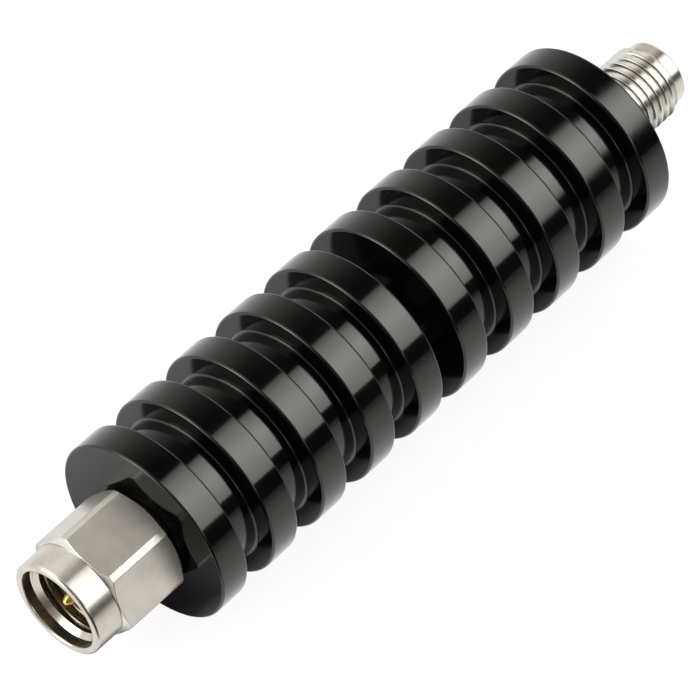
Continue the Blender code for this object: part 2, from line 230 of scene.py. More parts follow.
def spinOutline(piece, steps, hollow=True):
    # a hollow piece's outline is closed first, a solid one's starts and ends on the axis
    if hollow:
        selectCorners(piece, lambda vert, place: len(vert.link_edges) == 1)
        bpy.ops.mesh.edge_face_add()
    bpy.ops.mesh.select_all(action="SELECT")
    bpy.ops.mesh.spin(steps=steps, angle=2 * math.pi, center=(0, 0, axisHeight), axis=(1, 0, 0))
    bpy.ops.mesh.select_all(action="SELECT")
    bpy.ops.mesh.remove_doubles(threshold=tolerance["weld"] * mm)
    bpy.ops.mesh.normals_make_consistent(inside=False)
    bpy.ops.object.mode_set(mode="OBJECT")
    bpy.ops.object.transform_apply(location=True, rotation=True, scale=True)


def applyModifier(piece, kind, **settings):
    bpy.ops.object.select_all(action="DESELECT")
    bpy.context.view_layer.objects.active = piece
    piece.select_set(True)
    modifier = piece.modifiers.new(kind.lower(), kind)
    for key, value in settings.items():
        setattr(modifier, key, value)
    bpy.ops.object.modifier_apply(modifier=modifier.name)


def cutAway(piece, cutter):
    applyModifier(piece, "BOOLEAN", operation="DIFFERENCE", solver="EXACT", object=cutter)
    bpy.data.objects.remove(cutter)
    bpy.ops.object.mode_set(mode="EDIT")
    bpy.ops.mesh.select_all(action="SELECT")
    bpy.ops.mesh.dissolve_degenerate(threshold=tolerance["weld"] * mm)
    bpy.ops.object.mode_set(mode="OBJECT")


# where the flank flares into the crest, in shares of the crest's rounding: along the axis, and past the crest
crestFlare = [(-0.30, -0.50), (-0.06, -0.20), (0.20, -0.04), (0.60, 0.10)]


def helixCutter(side, thread):
    # a V on the far side of the crest, swept right-handed along the axis
    up = 1 if thread["mouth"] > thread["root"] else -1
    slope = math.tan(math.radians(thread["flank"]))
    size = thread["crestRound"]
    flank = [(thread["rootFlat"] / 2, thread["root"])]
    corner = flank[0][0] + abs(thread["crest"] - thread["root"]) * slope
    for along, past in crestFlare:
        flank.append((corner + along * size, thread["crest"] + up * past * size))
    flank.append((flank[-1][0], thread["mouth"]))
    x = thread["start"]
    outline = [(x - half, radius) for half, radius in flank]
    outline += [(x + half, radius) for half, radius in flank[::-1]]
    cutter = drawOutline("threadCutter", side, outline)
    bpy.ops.mesh.select_all(action="SELECT")
    bpy.ops.mesh.edge_face_add()
    bpy.ops.object.mode_set(mode="OBJECT")
    bpy.context.scene.cursor.location = (side["face"], 0, axisHeight)
    bpy.ops.object.origin_set(type="ORIGIN_CURSOR")
    steps = round(thread["steps"] * thread["turns"])
    applyModifier(
        cutter,
        "SCREW",
        axis="X",
        angle=side["out"] * thread["turns"] * 2 * math.pi,
        screw_offset=side["out"] * thread["turns"] * thread["pitch"] * mm,
        iterations=1,
        steps=steps,
        render_steps=steps,
    )
    bpy.ops.object.mode_set(mode="EDIT")
    bpy.ops.mesh.select_all(action="SELECT")
    bpy.ops.mesh.fill_holes(sides=len(outline))
    bpy.ops.mesh.normals_make_consistent(inside=False)
    bpy.ops.object.mode_set(mode="OBJECT")
    bpy.ops.object.transform_apply(location=True, rotation=True, scale=True)
    return cutter


def finishPiece(piece, body, materials, replaced, sharp=35):
    # smooth barrels and crisp edges: sharp is the angle in degrees from which an edge stays crisp
    bpy.ops.object.select_all(action="DESELECT")
    bpy.context.view_layer.objects.active = piece
    piece.select_set(True)
    bpy.ops.object.shade_smooth_by_angle(angle=math.radians(sharp))
    for material in materials:
        piece.data.materials.append(material)
    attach(piece, body)
    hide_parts(replaced)


# Black anodised aluminium: a dyed glassy oxide over turned metal, deep black
# with sharp, faintly olive reflections
anodised = {
    "tones": [(0.35, "#040404"), (0.75, "#0A0908")],
    "speck": "#8C8A84",
    "speckSize": 0.045,
    "speckSpacing": 3.2,
    "cloud": 3.0,
    "polish": 1.2,
    "roughness": (0.08, 0.13),
    "ior": 1.47,
    "sheen": "#FEFFF5",
    "ringPitch": 0.07,
    "ringWaver": 0.15,
    "blastGrain": 0.05,
    "grainShare": 0.5,
    "markDepth": 0.0004,
}


def makeAnodised():
    material, tree = startMaterial("blackAnodisedAluminium")
    place = latheCoordinates(tree)
    at = {"Vector": place["point"]}
    cloud = addNode(tree, "ShaderNodeTexNoise", {"Scale": 1 / anodised["cloud"]}, at)
    dye = addNode(tree, "ShaderNodeValToRGB", {"stops": anodised["tones"]}, {"Fac": cloud})
    # a few pale specks where the oxide is chipped
    cells = addNode(tree, "ShaderNodeTexVoronoi", {"Scale": 1 / anodised["speckSpacing"]}, at)
    near = anodised["speckSize"] / anodised["speckSpacing"]
    fade = {"From Min": near, "From Max": near / 2}
    chip = addNode(tree, "ShaderNodeMapRange", fade, {"Value": cells.outputs["Distance"]})
    speck = {"data_type": "RGBA", 7: colour(anodised["speck"])}
    tone = addNode(tree, "ShaderNodeMix", speck, {0: chip, 6: dye})
    polish = addNode(tree, "ShaderNodeTexNoise", {"Scale": 1 / anodised["polish"]}, at)
    smooth, dull = anodised["roughness"]
    rough = addNode(tree, "ShaderNodeMapRange", {"To Min": smooth, "To Max": dull}, {"Value": polish})
    rings = turningMarks(tree, place, anodised["ringPitch"], anodised["ringWaver"])
    grain = addNode(tree, "ShaderNodeTexNoise", {"Scale": 1 / anodised["blastGrain"], "Detail": 3.0}, at)
    share = {"operation": "MULTIPLY_ADD", 1: anodised["grainShare"]}
    height = addNode(tree, "ShaderNodeMath", share, {0: grain, 2: rings})
    marks = addNode(tree, "ShaderNodeBump", {"Distance": anodised["markDepth"] * mm}, {"Height": height})
    look = {"Metallic": 0.0, "IOR": anodised["ior"], "Specular Tint": colour(anodised["sheen"])}
    closeMaterial(tree, look, {"Base Color": tone.outputs[2], "Roughness": rough, "Normal": marks})
    return material


# Stainless steel, turned and passivated: warm grey, satin, with rings from the tool.
# The thread's tones are painted lighter and more neutral, against the tint of light bouncing in its grooves,
# and painted shade browns the inside of the nut
stainless = {
    "tones": [(0.3, "#C2BCB1"), (0.7, "#D0CABF")],
    "cloud": 1.5,
    "turned": {"roughness": (0.25, 0.31), "spread": 0.88, "markDepth": 0.00025},
    "bright": {"roughness": (0.19, 0.24), "spread": 0.85, "markDepth": 0.0002},
    "threaded": {
        "roughness": (0.17, 0.22),
        "spread": 0.3,
        "markDepth": 0.0002,
        # painted light: lighter, more neutral tones than the turned steel, against the darkening and tint of
        # light bouncing in the grooves
        "tones": [(0.3, "#CFCBC3"), (0.7, "#DBD8D1")],
    },
    "inner": {
        "roughness": (0.24, 0.32),
        "spread": 0.3,
        "markDepth": 0.0003,
        # painted shade: dark brown tones for the steel deep inside the nut's mouth and thread
        "tones": [(0.3, "#857865"), (0.7, "#A0947F")],
    },
    "milled": {"roughness": (0.31, 0.38), "spread": 0.35, "markDepth": 0.0005, "rings": False},
    "smear": 0.4,
    "ringPitch": 0.09,
    "ringWaver": 0.1,
    "feedPitch": 0.25,
    "feedWaver": 0.05,
    "feedShare": 2.0,
    "grain": 0.1,
}


def makeStainless(name, cut):
    # the tool's rings spread a reflection across them, and a milled face has only its grain
    material, tree = startMaterial(name)
    place = latheCoordinates(tree)
    at = {"Vector": place["point"]}
    cloud = addNode(tree, "ShaderNodeTexNoise", {"Scale": 1 / stainless["cloud"]}, at)
    tones = {"stops": cut.get("tones", stainless["tones"])}
    tone = addNode(tree, "ShaderNodeValToRGB", tones, {"Fac": cloud})
    smear = addNode(tree, "ShaderNodeTexNoise", {"Scale": 1 / stainless["smear"], "Detail": 4.0}, at)
    smooth, dull = cut["roughness"]
    rough = addNode(tree, "ShaderNodeMapRange", {"To Min": smooth, "To Max": dull}, {"Value": smear})
    height = addNode(tree, "ShaderNodeTexNoise", {"Scale": 1 / stainless["grain"]}, at)
    if cut.get("rings", True):
        rings = turningMarks(tree, place, stainless["ringPitch"], stainless["ringWaver"])
        feed = turningMarks(tree, place, stainless["feedPitch"], stainless["feedWaver"])
        share = {"operation": "MULTIPLY_ADD", 1: stainless["feedShare"]}
        height = addNode(tree, "ShaderNodeMath", share, {0: feed, 2: rings})
    marks = addNode(tree, "ShaderNodeBump", {"Distance": cut["markDepth"] * mm}, {"Height": height})
    look = {"Metallic": 1.0, "Anisotropic": cut["spread"], "Anisotropic Rotation": 0.25}
    links = {"Base Color": tone, "Roughness": rough, "Normal": marks, "Tangent": place["tangent"]}
    closeMaterial(tree, look, links)
    return material


# Gold plating over turned beryllium copper: bright, smooth and yellow
gold = {
    "tones": [(0.35, "#F0C67A"), (0.65, "#FFDC92")],
    "cloud": 0.3,
    "roughness": (0.28, 0.38),
    "smear": 0.1,
    "ringPitch": 0.05,
    "ringWaver": 0.2,
    "markDepth": 0.0003,
}
# Turned brass: yellow, satin, a little darker where it was handled
brass = {
    "tones": [(0.3, "#B8965A"), (0.7, "#D9BC7A")],
    "cloud": 1.0,
    "roughness": (0.24, 0.36),
    "smear": 0.5,
    "ringPitch": 0.1,
    "ringWaver": 0.2,
    "markDepth": 0.0008,
}
# Beryllium copper wire, heat treated: red-brown with a dull oxide
springWire = {
    "tones": [(0.4, "#8E5A3C"), (0.65, "#C98F5E")],
    "cloud": 0.6,
    "roughness": (0.3, 0.45),
    "smear": 0.2,
    "ringPitch": 0.04,
    "ringWaver": 0.2,
    "markDepth": 0.0004,
}


def makeRedMetal(name, metal):
    # the three copper metals differ in tone, polish and the pitch of their tool or drawing marks
    material, tree = startMaterial(name)
    place = latheCoordinates(tree)
    at = {"Vector": place["point"]}
    cloud = addNode(tree, "ShaderNodeTexNoise", {"Scale": 1 / metal["cloud"], "Detail": 4.0}, at)
    tone = addNode(tree, "ShaderNodeValToRGB", {"stops": metal["tones"]}, {"Fac": cloud})
    smear = addNode(tree, "ShaderNodeTexNoise", {"Scale": 1 / metal["smear"]}, at)
    smooth, dull = metal["roughness"]
    rough = addNode(tree, "ShaderNodeMapRange", {"To Min": smooth, "To Max": dull}, {"Value": smear})
    rings = turningMarks(tree, place, metal["ringPitch"], metal["ringWaver"])
    marks = addNode(tree, "ShaderNodeBump", {"Distance": metal["markDepth"] * mm}, {"Height": rings})
    closeMaterial(tree, {"Metallic": 1.0}, {"Base Color": tone, "Roughness": rough, "Normal": marks})
    return material


# Moulded polyetherimide bead: amber that looks brown in the bore, with a faint moulded grain
amberBead = {
    "tones": [(0.3, "#5E340E"), (0.7, "#85501A")],
    "flow": 0.8,
    "roughness": (0.3, 0.42),
    "ior": 1.66,
    "grain": 0.08,
    "grainDepth": 0.001,
}


def makeAmberBead():
    material, tree = startMaterial("mouldedPolyetherimide")
    place = latheCoordinates(tree)
    at = {"Vector": place["point"]}
    flow = addNode(tree, "ShaderNodeTexNoise", {"Scale": 1 / amberBead["flow"]}, at)
    tone = addNode(tree, "ShaderNodeValToRGB", {"stops": amberBead["tones"]}, {"Fac": flow})
    grain = addNode(tree, "ShaderNodeTexNoise", {"Scale": 1 / amberBead["grain"], "Detail": 3.0}, at)
    smooth, dull = amberBead["roughness"]
    rough = addNode(tree, "ShaderNodeMapRange", {"To Min": smooth, "To Max": dull}, {"Value": grain})
    marks = addNode(tree, "ShaderNodeBump", {"Distance": amberBead["grainDepth"] * mm}, {"Height": grain})
    closeMaterial(tree, {"IOR": amberBead["ior"]}, {"Base Color": tone, "Roughness": rough, "Normal": marks})
    return material


# Fired alumina card with a dark resistive film across its middle and bare ends
card = {
    "alumina": "#EAE6DB",
    "film": "#2B2620",
    "filmHalf": 4.2,
    "edge": 0.05,
    "roughness": (0.4, 0.55),
    "ior": 1.76,
    "grain": 0.03,
    "grainDepth": 0.001,
}


def makeCard():
    material, tree = startMaterial("aluminaWithResistiveFilm")
    place = latheCoordinates(tree)
    at = {"Vector": place["point"]}
    grain = addNode(tree, "ShaderNodeTexNoise", {"Scale": 1 / card["grain"], "Detail": 4.0}, at)
    off = addNode(tree, "ShaderNodeMath", {"operation": "ABSOLUTE"}, {0: place["along"]})
    wavy = addNode(tree, "ShaderNodeMath", {"operation": "MULTIPLY_ADD", 1: card["edge"]}, {0: grain, 2: off})
    onFilm = addNode(tree, "ShaderNodeMath", {"operation": "LESS_THAN", 1: card["filmHalf"]}, {0: wavy})
    stops = [(0.0, card["alumina"]), (1.0, card["film"])]
    tone = addNode(tree, "ShaderNodeValToRGB", {"stops": stops}, {"Fac": onFilm})
    smooth, dull = card["roughness"]
    rough = addNode(tree, "ShaderNodeMapRange", {"To Min": smooth, "To Max": dull}, {"Value": grain})
    marks = addNode(tree, "ShaderNodeBump", {"Distance": card["grainDepth"] * mm}, {"Height": grain})
    closeMaterial(tree, {"IOR": card["ior"]}, {"Base Color": tone, "Roughness": rough, "Normal": marks})
    return material


finishes = {
    "black": makeAnodised(),
    "turned": makeStainless("turnedStainlessSteel", stainless["turned"]),
    "bright": makeStainless("fineTurnedStainlessSteel", stainless["bright"]),
    "threaded": makeStainless("threadCutPaintedLighterStainlessSteel", stainless["threaded"]),
    "inner": makeStainless("shadedInnerStainlessSteel", stainless["inner"]),
    "milled": makeStainless("milledStainlessSteel", stainless["milled"]),
    "gold": makeRedMetal("goldPlatedContact", gold),
    "brass": makeRedMetal("turnedBrass", brass),
    "spring": makeRedMetal("berylliumCopperSpring", springWire),
    "amber": makeAmberBead(),
    "card": makeCard(),
}
print("materials made,", len(finishes))


# Heat sink: ten fins turned from bar, with a small radius at each groove's floor.
# The middle groove is deep and cut square
heatSink = {
    "fins": 10,
    "fin": 2.5,
    "groove": 2.65,
    "middleGroove": 2.4,
    "floor": 5.9,
    "middleFloor": 3.75,
    "bore": 2.9,
    "edgeRound": 0.17,
    "edgeSegments": 4,
    "fillet": 0.2,
    "filletSegments": 5,
    "boreBreak": 0.1,
    "steps": 216,
}


def makeHeatSink():
    side = {"face": bodyFront, "out": 1}
    bore = heatSink["bore"]
    outline = [(0, bore)]
    fillets = []
    x = 0
    for fin in range(heatSink["fins"]):
        outline += [(x, finRadius), (x + heatSink["fin"], finRadius)]
        x += heatSink["fin"]
        if fin + 1 == heatSink["fins"]:
            break
        middle = fin + 1 == heatSink["fins"] // 2
        width = heatSink["middleGroove"] if middle else heatSink["groove"]
        depth = heatSink["middleFloor"] if middle else heatSink["floor"]
        outline += [(x, depth), (x + width, depth)]
        x += width
        if not middle:
            fillets += outline[-2:]
    outline.append((x, bore))
    rims = [point for point in outline if point[1] == finRadius]
    outline = holdCorners(outline, rims, heatSink["edgeRound"])
    outline = holdCorners(outline, fillets, heatSink["fillet"])
    piece = drawOutline("finnedHeatSink", side, outline)
    roundCorners(piece, side, rims, heatSink["edgeRound"], heatSink["edgeSegments"])
    roundCorners(piece, side, fillets, heatSink["fillet"], heatSink["filletSegments"])
    roundCorners(piece, side, [outline[0], outline[-1]], heatSink["boreBreak"], 1)
    spinOutline(piece, heatSink["steps"])
    finishPiece(piece, "attenuator", [finishes["black"]], "heat_sink_body")


makeHeatSink()
print("heat sink turned")


# Coupling nut: 8 mm hexagon milled on a turned blank, with a thread inside
nut = {
    "back": 0.45,
    "end": 8.65,
    "hexEnd": 6.3,
    "sides": 6,
    "halfFlats": 4.0,
    "corner": 4.475,
    "chamferFoot": 3.97,
    "chamferAngle": 30,
    "nose": 3.9,
    "mouth": 3.3,
    "mouthDepth": 0.85,
    "leadIn": 0.4,
    "minor": 2.85,
    "collar": 2.8,
    "relief": 3.2,
    "reliefEnds": (2.35, 3.7),
    "ringGroove": (1.05, 1.75, 3.1),
    "lipRound": 0.25,
    "lipSegments": 9,
    "innerLipRound": 0.14,
    "innerLipSegments": 3,
    "flatEdge": 0.03,
    "leastFlat": 1,
    "insideShare": 1.02,
    "outsideShare": 1.01,
    "turn": 39.4,
    "sharp": 12,
    "steps": 240,
}
nutThread = {
    "pitch": 0.7056,
    "flank": 30,
    "root": 3.175,
    "crest": 2.85,
    "mouth": 2.7,
    "rootFlat": 0.088,
    "crestRound": 0.08,
    "start": 3.3,
    "turns": 7.1,
    "steps": 90,
}


def makeNut():
    chamfer = (nut["corner"] - nut["chamferFoot"]) * math.tan(math.radians(nut["chamferAngle"]))
    mouthFloor = nut["end"] - nut["mouthDepth"]
    grooveNear, grooveFar, grooveRadius = nut["ringGroove"]
    reliefNear, reliefFar = nut["reliefEnds"]
    outline = [
        (nut["back"], nut["collar"]),
        (nut["back"], nut["chamferFoot"]),
        (nut["back"] + chamfer, nut["corner"]),
        (nut["hexEnd"] - chamfer, nut["corner"]),
        (nut["hexEnd"], nut["chamferFoot"]),
        (nut["hexEnd"], nut["nose"]),
        (nut["end"], nut["nose"]),
        (nut["end"], nut["mouth"]),
        (mouthFloor, nut["mouth"]),
        (mouthFloor - nut["leadIn"], nut["minor"]),
        (reliefFar, nut["minor"]),
        (reliefFar, nut["relief"]),
        (reliefNear, nut["relief"]),
        (reliefNear, nut["collar"]),
        (grooveFar, nut["collar"]),
        (grooveFar, grooveRadius),
        (grooveNear, grooveRadius),
        (grooveNear, nut["collar"]),
    ]
    lip = [(nut["end"], nut["nose"])]
    innerLip = [(nut["end"], nut["mouth"])]
    outline = holdCorners(outline, lip, nut["lipRound"])
    piece = drawOutline("couplingNut", plugSide, outline)
    roundCorners(piece, plugSide, lip, nut["lipRound"], nut["lipSegments"])
    roundCorners(piece, plugSide, innerLip, nut["innerLipRound"], nut["innerLipSegments"])
    spinOutline(piece, nut["steps"])

    # mill the six flats
    bpy.ops.object.mode_set(mode="EDIT")
    flatNormals = []
    halfSide = 180 / nut["sides"]
    for i in range(nut["sides"]):
        turn = math.radians(nut["turn"] + halfSide + 2 * halfSide * i)
        normal = Vector((0, -math.sin(turn), math.cos(turn)))
        flatNormals.append(normal)
        bpy.ops.mesh.select_all(action="SELECT")
        bpy.ops.mesh.bisect(
            plane_co=Vector((0, 0, axisHeight)) + normal * nut["halfFlats"] * mm,
            plane_no=normal,
            threshold=tolerance["weld"] * mm,
            use_fill=True,
            clear_outer=True,
        )
    bpy.ops.mesh.select_all(action="SELECT")
    bpy.ops.mesh.remove_doubles(threshold=tolerance["weldFlats"] * mm)
    bpy.ops.mesh.normals_make_consistent(inside=False)

    # break the edges of the flats
    bpy.ops.mesh.select_mode(type="EDGE")
    bpy.ops.mesh.select_all(action="DESELECT")
    mesh = bmesh.from_edit_mesh(piece.data)

    def isFlat(facing, area):
        square = any(facing.dot(normal) > leaning["same"] for normal in flatNormals)
        return square and area > nut["leastFlat"] * mm * mm

    for edge in mesh.edges:
        edge.select = sum(isFlat(face.normal, face.calc_area()) for face in edge.link_faces) == 1
    mesh.select_flush_mode()
    bmesh.update_edit_mesh(piece.data)
    bpy.ops.mesh.bevel(offset=nut["flatEdge"] * mm, segments=2, affect="EDGES")
    bpy.ops.object.mode_set(mode="OBJECT")
    cutAway(piece, helixCutter(plugSide, nutThread))

    # milled flats, a bore darkened with painted shade, a bright lip and lead-in, and chamfers with the
    # thread's painted-lighter finish
    cuts = ["turned", "milled", "bright", "inner", "threaded"]
    steels = [finishes[cut] for cut in cuts]
    finishPiece(piece, "nut", steels, "coupling_nut", nut["sharp"])
    lipStart = plugSide["face"] + plugSide["out"] * (nut["end"] - nut["lipRound"]) * mm
    leadInEnd = plugSide["face"] + plugSide["out"] * (mouthFloor - nut["leadIn"]) * mm
    for face in piece.data.polygons:
        radius = math.hypot(face.center.y, face.center.z - axisHeight)
        inside = radius < nut["mouth"] * nut["insideShare"] * mm
        lean = abs(face.normal.x)
        if isFlat(face.normal, face.area):
            face.material_index = cuts.index("milled")
        elif inside and (face.center.x > leadInEnd or lean < leaning["barrel"]):
            face.material_index = cuts.index("inner")
        elif inside or face.center.x < lipStart:
            face.material_index = cuts.index("bright")
        elif radius > nut["nose"] * nut["outsideShare"] * mm and lean > leaning["sloped"]:
            face.material_index = cuts.index("threaded")


makeNut()
print("coupling nut milled")


# Jack: threaded barrel with a plain nose and a counterbore for the plug
jack = {
    "reach": 7.85,
    "thread": 3.1,
    "nose": 2.7,
    "noseLength": 1.0,
    "edgeRound": 0.18,
    "edgeSegments": 5,
    "innerBreak": 0.05,
    "breakSegments": 2,
    "collar": (0.1, 0.35),
    "ramp": (0.6, 1.1),
    "counterbore": 2.35,
    "counterboreDepth": 1.95,
    "bore": 1.46,
    "spigot": (6.0, 2.8),
    "beadSeat": (1.9, 2.0),
    "steps": 216,
}
jackThread = {
    "pitch": 0.7056,
    "flank": 30,
    "root": 2.712,
    "crest": 3.1,
    "mouth": 3.25,
    "rootFlat": 0.17,
    "crestRound": 0.07,
    "start": 0.66,
    "turns": 8.8,
    "steps": 96,
}


def makeJackShell():
    collarNear, collarFar = jack["collar"]
    reliefEnd, rampEnd = jack["ramp"]
    spigotLength, spigotRadius = jack["spigot"]
    seatDepth, seatRadius = jack["beadSeat"]
    noseStart = jack["reach"] - jack["noseLength"]
    reference = jack["reach"] - jack["counterboreDepth"]
    outline = [
        (-spigotLength, spigotRadius),
        (collarNear, spigotRadius),
        (collarNear, jack["thread"]),
        (collarFar, jack["thread"]),
        (collarFar, jack["nose"]),
        (reliefEnd, jack["nose"]),
        (rampEnd, jack["thread"]),
        (noseStart - jack["thread"] + jack["nose"], jack["thread"]),
        (noseStart, jack["nose"]),
        (jack["reach"], jack["nose"]),
        (jack["reach"], jack["counterbore"]),
        (reference, jack["counterbore"]),
        (reference, jack["bore"]),
        (-seatDepth, jack["bore"]),
        (-seatDepth, seatRadius),
        (-spigotLength, seatRadius),
    ]
    rim = [(jack["reach"], jack["nose"])]
    mouth = [(jack["reach"], jack["counterbore"])]
    breaks = [(collarFar, jack["thread"]), (reference, jack["bore"])]
    outline = holdCorners(outline, rim, jack["edgeRound"])
    piece = drawOutline("jackShell", jackSide, outline)
    roundCorners(piece, jackSide, rim, jack["edgeRound"], jack["edgeSegments"])
    roundCorners(piece, jackSide, mouth, jack["innerBreak"], jack["breakSegments"])
    roundCorners(piece, jackSide, breaks, jack["innerBreak"], jack["breakSegments"])
    spinOutline(piece, jack["steps"])
    cutAway(piece, helixCutter(jackSide, jackThread))

    # the barrel is bright, and the flanks and faces have the thread's own cut and its painted lighter tones
    cuts = ["bright", "threaded"]
    finishPiece(piece, "attenuator", [finishes[cut] for cut in cuts], "jack_shell")
    for face in piece.data.polygons:
        if abs(face.normal.x) > leaning["sloped"]:
            face.material_index = cuts.index("threaded")


makeJackShell()
print("jack shell threaded")


# Plug shell and the two gold contacts, seen in the mouths
plugShell = {
    "reach": 5.6,
    "nose": (2.3, 2.3),
    "neck": 2.6,
    "seat": -0.1,
    "bore": 1.46,
    "ringGroove": (0.8, 2.0, 2.15),
    "spigot": (6.0, 2.8),
    "beadSeat": (1.9, 2.0),
    "edge": 0.1,
    "edgeSegments": 3,
    "boreSegments": 2,
    "steps": 144,
}


def makePlugShell():
    noseLength, noseRadius = plugShell["nose"]
    shoulder = plugShell["reach"] - noseLength
    grooveNear, grooveFar, grooveFloor = plugShell["ringGroove"]
    spigotLength, spigotRadius = plugShell["spigot"]
    seatDepth, seatRadius = plugShell["beadSeat"]
    outline = [
        (-spigotLength, seatRadius),
        (-spigotLength, spigotRadius),
        (plugShell["seat"], spigotRadius),
        (plugShell["seat"], plugShell["neck"]),
        (grooveNear, plugShell["neck"]),
        (grooveNear, grooveFloor),
        (grooveFar, grooveFloor),
        (grooveFar, plugShell["neck"]),
        (shoulder, plugShell["neck"]),
        (shoulder, noseRadius),
        (plugShell["reach"], noseRadius),
        (plugShell["reach"], plugShell["bore"]),
        (-seatDepth, plugShell["bore"]),
        (-seatDepth, seatRadius),
    ]
    piece = drawOutline("plugShell", plugSide, outline)
    steps = [(plugShell["reach"], noseRadius), (shoulder, plugShell["neck"])]
    mouth = [(plugShell["reach"], plugShell["bore"])]
    roundCorners(piece, plugSide, steps, plugShell["edge"], plugShell["edgeSegments"])
    roundCorners(piece, plugSide, mouth, plugShell["edge"] / 2, plugShell["boreSegments"])
    spinOutline(piece, plugShell["steps"])
    finishPiece(piece, "attenuator", [finishes["bright"]], "plug_shell")


contact = {
    "rod": 0.635,
    "neck": 0.4,
    "tail": 0.3,
    "tailLength": 1.4,
    "bead": (2.0, 3.6),
    "gap": 0.1,
    "steps": 72,
}
pin = {
    "reference": 5.6,
    "tip": 7.85,
    "radius": 0.46,
    "point": 0.5,
    "pointRadius": 0.17,
    "tipRound": (0.08, 4),
    "shoulderRound": (0.15, 3),
}
socket = {
    "mouth": 5.8,
    "hole": 0.47,
    "depth": 2.5,
    "slots": 4,
    "slotLength": 2.0,
    "slotWidth": 0.14,
    "edgeRound": (0.06, 3),
}


def contactTail():
    # the back of both contacts: a neck through the bead and a tail in the line
    near, far = contact["bead"]
    end = far + contact["gap"]
    return [
        (-near + contact["gap"], contact["rod"]),
        (-near + contact["gap"], contact["neck"]),
        (-end, contact["neck"]),
        (-end, contact["tail"]),
        (-end - contact["tailLength"], contact["tail"]),
        (-end - contact["tailLength"], 0),
    ]


def makePin():
    step = contact["rod"] - pin["radius"]
    outline = [
        (pin["tip"], 0),
        (pin["tip"], pin["pointRadius"]),
        (pin["tip"] - pin["point"], pin["radius"]),
        (pin["reference"], pin["radius"]),
        (pin["reference"] - step, contact["rod"]),
        *contactTail(),
    ]
    piece = drawOutline("plugPin", plugSide, outline)
    roundCorners(piece, plugSide, [outline[1]], *pin["tipRound"])
    roundCorners(piece, plugSide, [outline[2]], *pin["shoulderRound"])
    spinOutline(piece, contact["steps"], hollow=False)
    finishPiece(piece, "attenuator", [finishes["gold"]], "plug_pin")


def makeSocket():
    outline = [
        (socket["mouth"] - socket["depth"], 0),
        (socket["mouth"] - socket["depth"], socket["hole"]),
        (socket["mouth"], socket["hole"]),
        (socket["mouth"], contact["rod"]),
        *contactTail(),
    ]
    piece = drawOutline("jackSocket", jackSide, outline)
    roundCorners(piece, jackSide, [outline[2], outline[3]], *socket["edgeRound"])
    spinOutline(piece, contact["steps"], hollow=False)
    for i in range(socket["slots"] // 2):
        bpy.ops.object.select_all(action="DESELECT")
        turn = 2 * math.pi * i / socket["slots"]
        bpy.ops.mesh.primitive_cube_add(
            size=1,
            location=(jackSide["face"] + socket["mouth"] * mm, 0, axisHeight),
            rotation=(turn, 0, 0),
            scale=(2 * socket["slotLength"] * mm, socket["slotWidth"] * mm, 3 * contact["rod"] * mm),
        )
        bpy.ops.object.transform_apply(location=True, rotation=True, scale=True)
        cutAway(piece, bpy.context.object)
    finishPiece(piece, "attenuator", [finishes["gold"]], "jack_socket")


makePlugShell()
makePin()
makeSocket()
print("plug shell and contacts turned")


# Pieces hidden inside keep their solids and get their own finishes
hiddenFinishes = {
    "nut_snap_ring": "spring",
    "plug_bead": "amber",
    "plug_line_sleeve": "brass",
    "plug_line_rod": "gold",
    "plug_line_bead": "amber",
    "plug_contact_tab": "gold",
    "attenuator_card": "card",
    "carrier_lower": "brass",
    "carrier_upper": "brass",
    "jack_contact_tab": "gold",
    "jack_line_rod": "gold",
    "jack_line_bead": "amber",
    "jack_line_sleeve": "brass",
    "jack_bead": "amber",
}
for name, finish in hiddenFinishes.items():
    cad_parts[name].material_slots[0].material = finishes[finish]
print("inner pieces finished,", len(hiddenFinishes))


# Studio: a long narrow soft box over the part, pale walls with a dark gap in the ceiling, and a paper floor
softBox = {
    "direction": (0.470, -0.487, 0.736),
    "distance": 1.5,
    "length": 1.78,
    "width": 0.4,
    "strength": 4.85,
    "cloth": [
        (0.0, 0.2),
        (0.14, 0.55),
        (0.29, 0.76),
        (0.42, 0.96),
        (0.54, 1.0),
        (0.67, 0.85),
        (0.81, 0.7),
        (1.0, 0.55),
    ],
}
# tones of the room by the angle round the part's long axis, in degrees from straight up.
# The panels past the ends are placed by direction, by where each one starts and where it is full
walls = {
    "gap": [
        (-180, 0.9),
        (-90, 0.9),
        (-75, 0.72),
        (-62, 0.55),
        (-48, 0.32),
        (-34, 0.12),
        (-20, 0.03),
        (180, 0.03),
    ],
    "sides": [
        (-180, 1.1),
        (-80, 1.1),
        (-60, 1.5),
        (-40, 1.95),
        (-26, 1.8),
        (-14, 0.85),
        (-4, 0.65),
        (6, 0.8),
        (54, 0.8),
        (62, 1.6),
        (70, 1.3),
        (76, 0.35),
        (86, 0.12),
        (96, 0.35),
        (180, 0.35),
    ],
    "gapPlace": 0.47,
    "gapHalf": (0.09, 0.18),
    "jackEnd": {"from": 0.8, "full": 0.96, "tone": 1.0},
    "darkCorner": {"x": (-0.2, -0.4), "side": (-0.12, -0.25), "tone": 0.1},
    "window": {"x": (-0.6, -0.72), "side": (0.0, 0.16), "z": (0.36, 0.22, 0.3), "tone": 9.0},
    "sill": {"x": (-0.7, -0.84), "side": (-0.22, -0.1), "z": (0.0, 0.05, 0.1), "tone": 3.0},
    "slant": -0.6,
}
